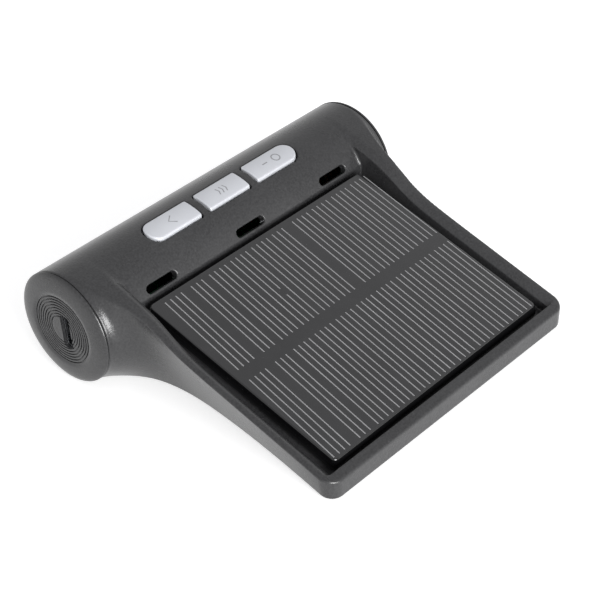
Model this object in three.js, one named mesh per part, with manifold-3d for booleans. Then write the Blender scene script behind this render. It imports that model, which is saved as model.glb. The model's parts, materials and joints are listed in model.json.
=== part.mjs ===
// Dashboard tyre pressure monitor: a round barrel that holds the display,
// on a sloping wing with a solar panel.
// Millimetres. +X runs along the barrel, +Y is the side that the display faces, +Z is up.
// The origin is the middle of the footprint, on the surface that the monitor stands on.
import * as THREE from 'three';
import { mergeVertices } from 'three/addons/utils/BufferGeometryUtils.js';
import Module from 'manifold-3d';

const wasm = await Module();
wasm.setup();

// Case
const BARREL_RADIUS = 12;
const BARREL_LENGTH = 83.6;
const DEPTH = 75.7;
const WALL = 1.8;
const CLEARANCE = 0.3;
const SHELL_BOTTOM = 0.4;

// Wing: its rim is a straight slope with a shoulder up onto the barrel, and its flanks have a waist
const WING_INSET = 5.3;
const WAIST_INSET = 5.9;
const WAIST_REACH = 22;
const WAIST_FLARE = 0.0214;
const FLANK_FLARE_TOP = 5.5;
const FLANK_FLARE_BOTTOM = 9.5;
const FLANK_FLARE_RUN = 4.8;
const FLANK_START = 3.5;
const FLANK_END_GAP = 0.05;
const RIM_FRONT_HEIGHT = 4.3;
const RIM_BACK_HEIGHT = 18;
const SHOULDER_LIFT = 0.5;
const SHOULDER_REACH = 8.5;
const SHOULDER_RUN = 2.6;
const CROWN_DROP = 0.02;
const CROWN_CURVE = 0.02;
const CROWN_RISE = 0.12;
const CORNER_RADIUS = 3.5;

// Solar panel and its pocket
const PANEL_FRONT_HEIGHT = 5.1;
const PANEL_BACK_HEIGHT = 17.2;
const PANEL_FRONT_MARGIN = 2.9;
const PANEL_BACK_MARGIN = 0.35;
const PANEL_SIDE_GAP = 3.1;
const PANEL_BOARD = 1.0;
const PANEL_EPOXY = 1.1;
const CELL_COUNT = 10;
const CELL_THICKNESS = 0.2;
const CELL_GAP = 0.4;
const CELL_BORDER = 1.1;
const LAYER_GAP = 0.15;
const RIM_WIDTH = 1.8;
const POCKET_FRONT_WALL = 2.2;
const POCKET_BACK = 1.1;
const POCKET_FLOOR = 1.3;

// Bottom cover, pad and screws
const COVER_THICKNESS = 2.0;
const COVER_MARGIN = 2.9;
const COVER_BACK = 4.3;
const COVER_FRONT_MARGIN = 14;
const LEDGE = 2;
const LEDGE_THICKNESS = 1.2;
const HOLLOW_BACK = 5;
const HOLLOW_FRONT_WALL = 4;
const HOLLOW_SIDE = 1.3;
const OPENING_FRONT = 2;
const PAD_THICKNESS = 1.0;
const PAD_INSET = 8.7;
const PAD_END_INSET = 4.2;
const SCREW_INSET = 4.2;
const SCREW_BACK = 11.7;
const SCREW_FRONT = 7.7;
const SCREW_HEAD_RADIUS = 1.75;
const SCREW_HEAD = 0.9;
const SCREW_RADIUS = 0.8;
const SCREW_LENGTH = 3.9;
const SCREW_SUNK = 0.2;
const SCREW_CROSS_HALF = 1.1;
const SCREW_CROSS_SLOT = 0.2;
const SCREW_CROSS_DEPTH = 0.4;
const BOSS_RADIUS = 2.4;

// End caps
const CAP_RISE = 1.1;
const CAP_DISC_RADIUS = 8;
const CAP_PLATE = 0.6;
const CAP_RING = 1.2;
const CAP_RING_DEPTH = 3;
const CAP_RIB = 1;
const CAP_RIB_LENGTH = 3;
// A rib's two ends, as shares of the board's half height
const CAP_RIB_ENDS = [0.6, 0.93];

// Display
const WINDOW_HALF_ANGLE = THREE.MathUtils.degToRad(37);
const WINDOW_THICKNESS = 1.0;
const WINDOW_END_MARGIN = 8.8;
const WINDOW_LEDGE = 1.5;
const FRAME_HALF_ANGLE = THREE.MathUtils.degToRad(44);
const FRAME_DEPTH = 4.1;
const FRAME_SIDE = 0.7;
const FRAME_BOARD_GAP = 0.73;
const GLASS_PROUD = 0.2;
const FRAME_END = 0.8;
const LCD_THICKNESS = 1.6;
const BACKLIGHT_THICKNESS = 1.4;
const STRIP_HEIGHT = 1.4;
const STRIP_HALF_LENGTH = 24;

// Main board, which leans with its top towards +Y
const BOARD_LEAN = THREE.MathUtils.degToRad(5.6);
const BOARD_THICKNESS = 1.2;
const BOARD_END_GAP = 1;

// Charging socket (micro USB)
const USB_HEIGHT = 7.1;
const USB_WIDTH = 2.2;
const USB_DEPTH = 5.6;
const USB_WALL = 0.25;
const USB_CORNER = 0.55;
const USB_RECESS = 0.9;
const USB_SLOT_GAP = 0.15;
const USB_LEVEL = -0.26;
const TONGUE_GAP = 0.2;
const TONGUE_RECESS = 0.8;
const TONGUE_HALF = 1.85;
const TONGUE_FACES = [-0.1, 0.4];
const USB_BASE = 1.2;

// Buttons and their switches
const BUTTON_BACK_ANGLE = THREE.MathUtils.degToRad(88);
const BUTTON_FRONT_ANGLE = THREE.MathUtils.degToRad(113);
const BUTTON_PROUD = 0.3;
const BUTTON_MIDDLE_HALF = 5.8;
const BUTTON_SPACING = 2.45;
const BUTTON_OUTER_LENGTH = 13;
const BUTTON_GAP = 0.25;
const BUTTON_TRAVEL = 0.35;
const BUTTON_FLANGE = 0.7;
const FLANGE_THICKNESS = 0.6;
const FLANGE_GAP = 0.4;
const SWITCH_WIDTH = 6;
const SWITCH_HEIGHT = 3.4;
const SWITCH_DEPTH = 3.5;
const PLUNGER_WIDTH = 2.6;
const PLUNGER_DEPTH = 1.6;
const PLUNGER_LENGTH = 1.9;
const PLUNGER_PROUD = 0.7;
const PLUNGER_PLACE = 0.66;
const STEM_HALF_WIDTH = 1.5;
const STEM_HALF_DEPTH = 0.8;

// Vents
const VENT_SPACING = 25.3;
const VENT_LENGTH = 7.8;
const VENT_WIDTH = 1.8;
const VENT_ANGLE = THREE.MathUtils.degToRad(147.5);

// Battery, wires and antenna
const BATTERY_LENGTH = 40;
const BATTERY_HEADROOM = 0.39;
const BATTERY_THICKNESS = 3.5;
const BATTERY_BACK = 15.5;
const TAPE_THICKNESS = 0.4;
const TAPE_END_INSET = 4;
const TAPE_SIDE_INSET = 3;
const WIRE_RADIUS = 0.5;
const WIRE_SPACING = 1.9;
const SOLAR_WIRE_X = 11;
const BATTERY_WIRE_X = -3.2;
const SOLAR_WIRE_END = 1.37;
const BATTERY_WIRE_END = 5.17;
const WIRE_HOLE_RADIUS = 2.4;
const WIRE_HOLE_BACK = 5;
const COIL_RADIUS = 2.2;
const COIL_WIRE = 0.35;
const COIL_LENGTH = 10;
const COIL_TURNS = 6;
const BARREL_SIDES = 64;

// Sizes that follow from the ones above
const barrelHalf = BARREL_LENGTH / 2;
const capSeat = barrelHalf + CLEARANCE;
const bore = BARREL_RADIUS - WALL;
const axisY = DEPTH / 2 - BARREL_RADIUS;
const axisZ = SHELL_BOTTOM + BARREL_RADIUS;
const wingReach = axisY + DEPTH / 2;
const wingHalf = barrelHalf - WING_INSET;
const waistHalf = wingHalf - WAIST_INSET;
const pocketHalf = wingHalf - RIM_WIDTH;
const panelHalf = pocketHalf - PANEL_SIDE_GAP;
const panelBack = BARREL_RADIUS + PANEL_BACK_MARGIN;
const panelFront = wingReach - PANEL_FRONT_MARGIN;
const panelDrop = PANEL_BACK_HEIGHT - PANEL_FRONT_HEIGHT;
const panelSlope = Math.atan2(panelDrop, panelFront - panelBack);
const panelLength = Math.hypot(panelDrop, panelFront - panelBack);
const panelThickness = PANEL_BOARD + CELL_THICKNESS + PANEL_EPOXY + 2 * LAYER_GAP;
const pocketDepth = (panelThickness + CLEARANCE) / Math.cos(panelSlope);
const coverHalf = waistHalf - COVER_MARGIN;
const coverFront = wingReach - COVER_FRONT_MARGIN;
const coverTop = SHELL_BOTTOM + COVER_THICKNESS;
const ledgeTop = coverTop + CLEARANCE + LEDGE_THICKNESS;
const hollowFront = coverFront - HOLLOW_FRONT_WALL;
const capRingOuter = bore - CLEARANCE;
const capRingInner = capRingOuter - CAP_RING;
const boardHalfHeight = capRingInner - CLEARANCE;
const boardHalfLength = capSeat - CAP_PLATE - BOARD_END_GAP;
// The battery reaches as far forward as the sloping pocket floor leaves it headroom
const tapeBottom = coverTop + CLEARANCE;
const batteryBottom = tapeBottom + TAPE_THICKNESS + CLEARANCE;
const batteryRoof = batteryBottom + BATTERY_THICKNESS + BATTERY_HEADROOM + POCKET_FLOOR + pocketDepth;
const batteryFront = panelBack
  + (SHELL_BOTTOM + PANEL_BACK_HEIGHT - batteryRoof) * (panelFront - panelBack) / panelDrop;
const frameOuter = bore - CLEARANCE;
const frameFront = frameOuter * Math.cos(FRAME_HALF_ANGLE);
const frameBack = frameFront - FRAME_DEPTH;
const boardBack = frameBack - FRAME_BOARD_GAP - boardHalfHeight * Math.sin(BOARD_LEAN);
const boardFace = boardBack - BOARD_THICKNESS;
const windowHalf = barrelHalf - WINDOW_END_MARGIN;
const windowInner = BARREL_RADIUS - WINDOW_THICKNESS;
const usbCentre = boardFace - CLEARANCE - USB_WIDTH / 2;
const usbMouth = capSeat + CAP_RISE - USB_RECESS;

// Maps an outline drawn in Y and Z so that it is extruded along X
const sideways = new THREE.Matrix4().makeBasis(
  new THREE.Vector3(0, 1, 0), new THREE.Vector3(0, 0, 1), new THREE.Vector3(1, 0, 0));
const barrelPlace = new THREE.Matrix4().makeTranslation(0, axisY, axisZ);
const boardPlace = barrelPlace.clone().multiply(new THREE.Matrix4().makeRotationX(-BOARD_LEAN));

function facingOut(geometry) {
  const position = geometry.attributes.position;
  const index = geometry.index.array;
  const corner = [0, 1, 2].map(() => new THREE.Vector3());
  let volume = 0;
  for (let i = 0; i < index.length; i += 3) {
    corner.forEach((point, k) => point.fromBufferAttribute(position, index[i + k]));
    volume += corner[0].dot(corner[1].clone().cross(corner[2]));
  }
  return volume > 0;
}

function solidOf(geometry) {
  const plain = geometry.index ? geometry.toNonIndexed() : geometry.clone();
  plain.deleteAttribute('normal');
  plain.deleteAttribute('uv');
  const merged = mergeVertices(plain, 1e-4);
  const outward = facingOut(merged);
  const triangles = [];
  for (let i = 0; i < merged.index.count; i += 3) {
    const [a, b, c] = [0, 1, 2].map((k) => merged.index.getX(i + k));
    if (a !== b && b !== c && c !== a) {
      triangles.push(...(outward ? [a, b, c] : [a, c, b]));
    }
  }
  return new wasm.Manifold(new wasm.Mesh({
    numProp: 3,
    vertProperties: Float32Array.from(merged.attributes.position.array),
    triVerts: Uint32Array.from(triangles),
  }));
}

function geometryOf(solid) {
  const mesh = solid.getMesh();
  const geometry = new THREE.BufferGeometry();
  geometry.setAttribute('position', new THREE.BufferAttribute(Float32Array.from(mesh.vertProperties), 3));
  geometry.setIndex(new THREE.BufferAttribute(Uint32Array.from(mesh.triVerts), 1));
  geometry.computeVertexNormals();
  return geometry;
}

function box(x, y, z) {
  const geometry = new THREE.BoxGeometry(x[1] - x[0], y[1] - y[0], z[1] - z[0]);
  return geometry.translate((x[0] + x[1]) / 2, (y[0] + y[1]) / 2, (z[0] + z[1]) / 2);
}

function rodX(radius, from, to, sides) {
  const geometry = new THREE.CylinderGeometry(radius, radius, to - from, sides);
  return geometry.rotateZ(Math.PI / 2).translate((from + to) / 2, 0, 0);
}

function rodZ(radius, from, to, sides) {
  const geometry = new THREE.CylinderGeometry(radius, radius, to - from, sides);
  return geometry.rotateX(Math.PI / 2).translate(0, 0, (from + to) / 2);
}

// An outline of points in Y and Z, extruded along X
function prismX(points, from, to) {
  const shape = new THREE.Shape(points.map(([y, z]) => new THREE.Vector2(y, z)));
  const geometry = new THREE.ExtrudeGeometry(shape, { depth: to - from, bevelEnabled: false });
  return geometry.applyMatrix4(sideways).translate(from, 0, 0);
}

// Part of a tube round the X axis, from one angle to another, measured from +Y towards +Z
function tubeSector(inner, outer, start, end, from, to) {
  const shape = new THREE.Shape();
  shape.moveTo(inner * Math.cos(start), inner * Math.sin(start));
  shape.absarc(0, 0, outer, start, end, false);
  shape.absarc(0, 0, inner, end, start, true);
  const settings = { depth: to - from, bevelEnabled: false, curveSegments: 16 };
  return new THREE.ExtrudeGeometry(shape, settings).applyMatrix4(sideways).translate(from, 0, 0);
}

// A rectangle in X and Y with a radius on its -X and +X corners, extruded along Z
function roundedPlate(x, y, radii, from, to) {
  const [left, right] = radii;
  const shape = new THREE.Shape();
  shape.moveTo(x[0] + left, y[0]);
  shape.lineTo(x[1] - right, y[0]);
  if (right > 0) {
    shape.absarc(x[1] - right, y[0] + right, right, -Math.PI / 2, 0, false);
    shape.absarc(x[1] - right, y[1] - right, right, 0, Math.PI / 2, false);
  } else {
    shape.lineTo(x[1], y[1]);
  }
  shape.lineTo(x[0] + left, y[1]);
  if (left > 0) {
    shape.absarc(x[0] + left, y[1] - left, left, Math.PI / 2, Math.PI, false);
    shape.absarc(x[0] + left, y[0] + left, left, Math.PI, Math.PI * 1.5, false);
  }
  const settings = { depth: to - from, bevelEnabled: false, curveSegments: 5 };
  return new THREE.ExtrudeGeometry(shape, settings).translate(0, 0, from);
}

function piece(name, shape, colour, roughness, metalness) {
  const geometry = shape.isBufferGeometry ? geometryOf(solidOf(shape)) : geometryOf(shape);
  const material = new THREE.MeshStandardMaterial({ color: colour, roughness, metalness });
  const mesh = new THREE.Mesh(geometry, material);
  mesh.name = name;
  return mesh;
}

// Heights along the wing. Distances are measured forward of the barrel's axis, towards -Y
function slopeHeight(distance, near, nearHeight, far, farHeight) {
  return SHELL_BOTTOM + nearHeight + (farHeight - nearHeight) * (distance - near) / (far - near);
}

function panelTop(distance) {
  return slopeHeight(distance, panelBack, PANEL_BACK_HEIGHT, panelFront, PANEL_FRONT_HEIGHT);
}

function pocketFloor(distance) {
  return panelTop(distance) - pocketDepth;
}

function rimHeight(distance) {
  const line = (d) => slopeHeight(d, BARREL_RADIUS, RIM_BACK_HEIGHT, wingReach, RIM_FRONT_HEIGHT);
  const lift = axisZ + BARREL_RADIUS - line(0) + SHOULDER_LIFT;
  const middle = BARREL_RADIUS + SHOULDER_REACH;
  const shoulder = lift / (1 + Math.exp((distance - middle) / SHOULDER_RUN));
  const crown = axisZ + BARREL_RADIUS - CROWN_DROP - CROWN_CURVE * distance ** 2;
  return distance < BARREL_RADIUS ? Math.min(line(distance) + shoulder, crown + distance * CROWN_RISE)
    : line(distance) + shoulder;
}

function flankHalf(distance, level) {
  const near = Math.exp(-Math.max(0, distance - FLANK_START) / FLANK_FLARE_RUN);
  const top = wingHalf + FLANK_FLARE_TOP * near;
  const waist = waistHalf + WAIST_FLARE * Math.max(0, distance - WAIST_REACH) ** 1.5;
  const bottom = waist + FLANK_FLARE_BOTTOM * near;
  const intoCorner = Math.max(0, distance - (wingReach - CORNER_RADIUS));
  const corner = CORNER_RADIUS - Math.sqrt(Math.max(0, CORNER_RADIUS ** 2 - intoCorner ** 2));
  const side = Math.min(THREE.MathUtils.lerp(bottom, top, level), barrelHalf - FLANK_END_GAP);
  return side - corner;
}

function wingStations() {
  const stations = [];
  const straight = 26;
  const round = 5;
  for (let i = 0; i < straight; i++) {
    stations.push((wingReach - CORNER_RADIUS) * i / straight);
  }
  for (let i = 0; i <= round; i++) {
    stations.push(wingReach - CORNER_RADIUS + CORNER_RADIUS * Math.sin(Math.PI / 2 * i / round));
  }
  return stations;
}

function wingBlock() {
  const stations = wingStations();
  const steps = stations.length - 1;
  const geometry = new THREE.BoxGeometry(2, 1, 1, 1, steps, 4);
  const position = geometry.attributes.position;
  for (let i = 0; i < position.count; i++) {
    const distance = stations[Math.round((0.5 - position.getY(i)) * steps)];
    const level = position.getZ(i) + 0.5;
    const z = THREE.MathUtils.lerp(SHELL_BOTTOM, rimHeight(distance), level);
    position.setXYZ(i, position.getX(i) * flankHalf(distance, level), axisY - distance, z);
  }
  return geometry;
}

// The space over the pocket floor, from the front wall back to a given distance
function pocketSpace(back) {
  const front = wingReach - POCKET_FRONT_WALL;
  const over = axisZ + BARREL_RADIUS + 5;
  const outline = [
    [axisY - front, pocketFloor(front)],
    [axisY - back, pocketFloor(back)],
    [axisY - back, over],
    [axisY - front, over],
  ];
  return solidOf(prismX(outline, -pocketHalf, pocketHalf));
}

function caseHollow() {
  const under = (d) => pocketFloor(d) - POCKET_FLOOR;
  const outline = [
    [axisY - hollowFront, ledgeTop],
    [axisY - HOLLOW_BACK, ledgeTop],
    [axisY - HOLLOW_BACK, under(HOLLOW_BACK)],
    [axisY - hollowFront, under(hollowFront)],
  ];
  const inside = coverHalf + HOLLOW_SIDE;
  const tube = rodX(bore, -barrelHalf - 1, barrelHalf + 1, BARREL_SIDES).applyMatrix4(barrelPlace);
  const recess = box([-coverHalf - CLEARANCE, coverHalf + CLEARANCE],
    [axisY - coverFront - CLEARANCE, axisY - COVER_BACK + CLEARANCE], [-1, coverTop + CLEARANCE]);
  const opening = box([-coverHalf + LEDGE, coverHalf - LEDGE],
    [axisY - coverFront + LEDGE + OPENING_FRONT, axisY - COVER_BACK - LEDGE], [-1, ledgeTop + 0.2]);
  return solidOf(tube).add(solidOf(prismX(outline, -inside, inside))).add(solidOf(recess))
    .add(solidOf(opening));
}

const screwPlaces = [COVER_BACK + SCREW_BACK, coverFront - SCREW_FRONT].flatMap(
  (distance) => [-1, 1].map((side) => [side * (coverHalf - SCREW_INSET), distance]));

const buttons = ['left', 'middle', 'right'].map((name, i) => {
  const outer = BUTTON_MIDDLE_HALF + BUTTON_SPACING;
  const spans = [
    [-outer - BUTTON_OUTER_LENGTH, -outer],
    [-BUTTON_MIDDLE_HALF, BUTTON_MIDDLE_HALF],
    [outer, outer + BUTTON_OUTER_LENGTH],
  ];
  return { name, span: spans[i], rounded: [i === 0, i === 2] };
});

// In the board's frame: how far in front of the leaning plane the buttons start and end
const buttonDepth = [BUTTON_FRONT_ANGLE, BUTTON_BACK_ANGLE].map(
  (angle) => BARREL_RADIUS * Math.cos(angle + BOARD_LEAN));
const buttonWidth = buttonDepth[1] - buttonDepth[0];

// The button's outline grown by a margin, as a column along its travel
function buttonColumn(button, margin, from, to) {
  const x = [button.span[0] - margin, button.span[1] + margin];
  const y = [buttonDepth[0] - margin, buttonDepth[1] + margin];
  const radii = button.rounded.map((round) => (round ? buttonWidth / 2 - 0.01 + margin : 0));
  return roundedPlate(x, y, radii, from, to);
}

function makeShell() {
  const barrel = rodX(BARREL_RADIUS, -barrelHalf, barrelHalf, BARREL_SIDES).applyMatrix4(barrelPlace);
  let shell = solidOf(wingBlock()).subtract(pocketSpace(-3)).add(solidOf(barrel));
  shell = shell.subtract(pocketSpace(BARREL_RADIUS - POCKET_BACK)).subtract(caseHollow());
  for (const [x, distance] of screwPlaces) {
    const boss = rodZ(BOSS_RADIUS, coverTop + CLEARANCE, pocketFloor(distance) + 1, 20);
    const tip = coverTop + SCREW_LENGTH;
    const hole = rodZ(SCREW_RADIUS + CLEARANCE, coverTop, tip, 12);
    const place = [x, axisY - distance, 0];
    shell = shell.add(solidOf(boss.translate(...place)).subtract(pocketSpace(BARREL_RADIUS - POCKET_BACK)));
    shell = shell.subtract(solidOf(hole.translate(...place)));
  }
  const recess = tubeSector(windowInner - CLEARANCE, BARREL_RADIUS + 1,
    -WINDOW_HALF_ANGLE - CLEARANCE / BARREL_RADIUS, WINDOW_HALF_ANGLE + CLEARANCE / BARREL_RADIUS,
    -windowHalf - CLEARANCE, windowHalf + CLEARANCE);
  const lip = WINDOW_LEDGE / BARREL_RADIUS;
  const through = tubeSector(bore - 1, BARREL_RADIUS + 1, -WINDOW_HALF_ANGLE + lip,
    WINDOW_HALF_ANGLE - lip, -windowHalf + WINDOW_LEDGE, windowHalf - WINDOW_LEDGE);
  shell = shell.subtract(solidOf(recess.applyMatrix4(barrelPlace)));
  shell = shell.subtract(solidOf(through.applyMatrix4(barrelPlace)));
  for (const button of buttons) {
    const column = buttonColumn(button, BUTTON_GAP, bore * 0.7, BARREL_RADIUS + 2);
    shell = shell.subtract(solidOf(column.applyMatrix4(boardPlace)));
  }
  for (const place of [-1, 0, 1]) {
    const vent = roundedPlate([-VENT_LENGTH / 2, VENT_LENGTH / 2], [-VENT_WIDTH / 2, VENT_WIDTH / 2],
      [VENT_WIDTH / 2 - 0.01, VENT_WIDTH / 2 - 0.01], bore - 1, BARREL_RADIUS + 1);
    vent.rotateX(VENT_ANGLE - Math.PI / 2).translate(place * VENT_SPACING, 0, 0);
    shell = shell.subtract(solidOf(vent.applyMatrix4(barrelPlace)));
  }
  const wireX = SOLAR_WIRE_X + WIRE_SPACING / 2;
  const wireHole = rodZ(WIRE_HOLE_RADIUS, ledgeTop, axisZ + BARREL_RADIUS, 16);
  shell = shell.subtract(solidOf(wireHole.translate(wireX, axisY - panelBack - WIRE_HOLE_BACK, 0)));
  return piece('top_shell', shell, 0x2a2b2d, 0.5, 0);
}

function makeCover() {
  const y = [axisY - coverFront, axisY - COVER_BACK];
  let cover = solidOf(box([-coverHalf, coverHalf], y, [SHELL_BOTTOM, coverTop]));
  const recess = box([-coverHalf + PAD_INSET - CLEARANCE, coverHalf - PAD_INSET + CLEARANCE],
    [y[0] + PAD_END_INSET - CLEARANCE, y[1] - PAD_END_INSET + CLEARANCE], [-1, PAD_THICKNESS + CLEARANCE]);
  cover = cover.subtract(solidOf(recess));
  for (const [x, distance] of screwPlaces) {
    const seat = SHELL_BOTTOM + SCREW_SUNK + SCREW_HEAD + CLEARANCE;
    const counterbore = rodZ(SCREW_HEAD_RADIUS + CLEARANCE, -1, seat, 20);
    const hole = rodZ(SCREW_RADIUS + CLEARANCE, 0, coverTop + 1, 12);
    cover = cover.subtract(solidOf(counterbore.translate(x, axisY - distance, 0)));
    cover = cover.subtract(solidOf(hole.translate(x, axisY - distance, 0)));
  }
  return piece('bottom_cover', cover, 0x262729, 0.6, 0);
}

function makePad() {
  const x = [-coverHalf + PAD_INSET, coverHalf - PAD_INSET];
  const y = [axisY - coverFront + PAD_END_INSET, axisY - COVER_BACK - PAD_END_INSET];
  return piece('anti_slip_pad', roundedPlate(x, y, [2, 2], 0, PAD_THICKNESS), 0x151515, 0.9, 0);
}

function makeScrew(index) {
  const [x, distance] = screwPlaces[index];
  const head = solidOf(rodZ(SCREW_HEAD_RADIUS, 0, SCREW_HEAD, 16));
  const shank = solidOf(rodZ(SCREW_RADIUS, SCREW_HEAD / 2, SCREW_HEAD + SCREW_LENGTH, 10));
  let screw = head.add(shank);
  const cross = [[SCREW_CROSS_HALF, SCREW_CROSS_SLOT], [SCREW_CROSS_SLOT, SCREW_CROSS_HALF]];
  for (const [halfX, halfY] of cross) {
    screw = screw.subtract(solidOf(box([-halfX, halfX], [-halfY, halfY], [-1, SCREW_CROSS_DEPTH])));
  }
  const mesh = piece(`cover_screw_${index + 1}`, screw, 0x8c8e90, 0.35, 1);
  mesh.position.set(x, axisY - distance, SHELL_BOTTOM + SCREW_SUNK);
  return mesh;
}

function capProfile() {
  const arc = [];
  for (let i = 1; i <= 5; i++) {
    const angle = Math.PI / 2 * i / 5;
    const radius = CAP_DISC_RADIUS + (BARREL_RADIUS - CAP_DISC_RADIUS) * Math.sin(angle);
    arc.push([radius, CAP_RISE * Math.cos(angle)]);
  }
  const points = [
    [0, CAP_RISE], [CAP_DISC_RADIUS, CAP_RISE], ...arc,
    [capRingOuter, 0], [capRingOuter, -CAP_RING_DEPTH], [capRingInner, -CAP_RING_DEPTH],
    [capRingInner, -CAP_PLATE], [0, -CAP_PLATE],
  ];
  return points.map(([radius, height]) => new THREE.Vector2(radius, height));
}

// Each cap closes one end of the barrel, and four ribs inside it hold the end of the main board
function makeCap(name, side) {
  const body = new THREE.LatheGeometry(capProfile(), 48).rotateZ(-side * Math.PI / 2);
  let cap = solidOf(body.translate(side * capSeat, 0, 0).applyMatrix4(barrelPlace));
  const ends = [side * (capSeat - CAP_PLATE + CLEARANCE), side * (capSeat - CAP_PLATE - CAP_RIB_LENGTH)];
  const x = ends.sort((a, b) => a - b);
  for (const y of [boardFace - CLEARANCE - CAP_RIB, boardBack + CLEARANCE]) {
    for (const half of [-1, 1]) {
      const z = CAP_RIB_ENDS.map((share) => half * boardHalfHeight * share).sort((a, b) => a - b);
      cap = cap.add(solidOf(box(x, [y, y + CAP_RIB], z).applyMatrix4(boardPlace)));
    }
  }
  if (side < 0) {
    const slot = usbOutline(USB_SLOT_GAP, -capSeat - CAP_RISE - 1, -capSeat + CAP_PLATE + 1);
    cap = cap.subtract(solidOf(slot.applyMatrix4(boardPlace)));
  }
  return piece(name, cap, 0x2c2d2f, 0.5, 0);
}

// The socket's rounded outline, grown by a margin and extruded along X
function usbOutline(margin, from, to) {
  const y = [usbCentre - USB_WIDTH / 2 - margin, usbCentre + USB_WIDTH / 2 + margin];
  const z = [USB_LEVEL - USB_HEIGHT / 2 - margin, USB_LEVEL + USB_HEIGHT / 2 + margin];
  const radius = USB_CORNER + margin;
  const plate = roundedPlate(y, z, [radius, radius], 0, to - from);
  return plate.applyMatrix4(sideways).translate(from, 0, 0);
}

function makeUsb() {
  const x = [-usbMouth, -usbMouth + USB_DEPTH];
  const shell = solidOf(usbOutline(0, ...x)).subtract(solidOf(usbOutline(-USB_WALL, x[0] - 1, x[1] + 1)));
  const inner = USB_WALL + TONGUE_GAP;
  const halfY = USB_WIDTH / 2 - inner;
  const halfZ = USB_HEIGHT / 2 - inner - CLEARANCE;
  const base = box([x[1] - USB_BASE, x[1]], [usbCentre - halfY, usbCentre + halfY],
    [USB_LEVEL - halfZ, USB_LEVEL + halfZ]);
  const tongue = box([x[0] + TONGUE_RECESS, x[1] - USB_BASE / 2],
    TONGUE_FACES.map((face) => usbCentre + face), [USB_LEVEL - TONGUE_HALF, USB_LEVEL + TONGUE_HALF]);
  return [
    piece('usb_shell', shell, 0xb9bcc0, 0.3, 1),
    piece('usb_tongue', solidOf(base).add(solidOf(tongue)), 0x1b1b1c, 0.6, 0),
  ];
}

const flangeOuter = bore - FLANGE_GAP;
const flangeInner = flangeOuter - FLANGE_THICKNESS;
const switchFar = boardFace - CLEARANCE - SWITCH_DEPTH;
const switchTop = Math.sqrt(flangeInner ** 2 - switchFar ** 2) - BUTTON_TRAVEL - CLEARANCE;
const plungerCentre = boardFace - CLEARANCE - SWITCH_DEPTH * PLUNGER_PLACE;
const plungerTop = switchTop + PLUNGER_PROUD;

function makeButton(button) {
  const tube = (inner, outer) => solidOf(rodX(outer, -barrelHalf, barrelHalf, 96))
    .subtract(solidOf(rodX(inner, -barrelHalf - 1, barrelHalf + 1, 96)));
  const column = (margin) => solidOf(buttonColumn(button, margin, 1, BARREL_RADIUS + 2));
  const cap = tube(flangeInner, BARREL_RADIUS + BUTTON_PROUD).intersect(column(0));
  const flange = tube(flangeInner, flangeOuter).intersect(column(BUTTON_FLANGE));
  const middle = (button.span[0] + button.span[1]) / 2;
  const stem = box([middle - STEM_HALF_WIDTH, middle + STEM_HALF_WIDTH],
    [plungerCentre - STEM_HALF_DEPTH, plungerCentre + STEM_HALF_DEPTH],
    [plungerTop + CLEARANCE, flangeInner + CLEARANCE]);
  return piece(`button_${button.name}`, cap.add(flange).add(solidOf(stem)), 0xd6d8de, 0.35, 0.6);
}

function makeSwitch(button) {
  const middle = (button.span[0] + button.span[1]) / 2;
  const well = CLEARANCE;
  const plungerBottom = plungerTop - PLUNGER_LENGTH;
  const body = box([middle - SWITCH_WIDTH / 2, middle + SWITCH_WIDTH / 2],
    [switchFar, boardFace - CLEARANCE], [switchTop - SWITCH_HEIGHT, switchTop]);
  const hole = box([middle - PLUNGER_WIDTH / 2 - well, middle + PLUNGER_WIDTH / 2 + well],
    [plungerCentre - PLUNGER_DEPTH / 2 - well, plungerCentre + PLUNGER_DEPTH / 2 + well],
    [plungerBottom - BUTTON_TRAVEL - well, switchTop + 1]);
  const plunger = box([middle - PLUNGER_WIDTH / 2, middle + PLUNGER_WIDTH / 2],
    [plungerCentre - PLUNGER_DEPTH / 2, plungerCentre + PLUNGER_DEPTH / 2], [plungerBottom, plungerTop]);
  return [
    piece(`switch_${button.name}_body`, solidOf(body).subtract(solidOf(hole)), 0x9a9c9f, 0.4, 0.8),
    piece(`switch_${button.name}_plunger`, plunger, 0x202020, 0.6, 0),
  ];
}

function chip(name, x, z, size, colour) {
  const face = boardFace - LAYER_GAP;
  const shape = box([x - size[0] / 2, x + size[0] / 2], [face - size[1], face],
    [z - size[2] / 2, z + size[2] / 2]);
  return piece(name, shape, colour, 0.5, 0);
}

// A round can that stands on the board's front face
function can(name, x, z, radius, height, colour, metalness) {
  const geometry = new THREE.CylinderGeometry(radius, radius, height, 24);
  geometry.translate(x, boardFace - CLEARANCE - height / 2, z);
  return piece(name, geometry, colour, 0.5, metalness);
}

function makeAntenna() {
  const turns = COIL_TURNS;
  const points = [];
  for (let i = 0; i <= turns * 12; i++) {
    const angle = i / 12 * Math.PI * 2;
    const x = COIL_LENGTH * (i / (turns * 12) - 0.5);
    points.push(new THREE.Vector3(x, COIL_RADIUS * Math.cos(angle), COIL_RADIUS * Math.sin(angle)));
  }
  const path = new THREE.CatmullRomCurve3(points);
  const mesh = piece('antenna_coil', wire(path, COIL_WIRE, turns * 12, 6), 0xc08a4a, 0.35, 1);
  mesh.position.set(boardHalfLength - 7, boardFace - COIL_RADIUS - COIL_WIRE - 0.5, 1);
  return mesh;
}

function wire(path, radius, steps, sides) {
  const section = new THREE.Shape();
  for (let i = 0; i < sides; i++) {
    const angle = i / sides * Math.PI * 2;
    const point = [radius * Math.cos(angle), radius * Math.sin(angle)];
    if (i === 0) {
      section.moveTo(...point);
    } else {
      section.lineTo(...point);
    }
  }
  section.closePath();
  return new THREE.ExtrudeGeometry(section, { steps, extrudePath: path });
}

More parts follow.
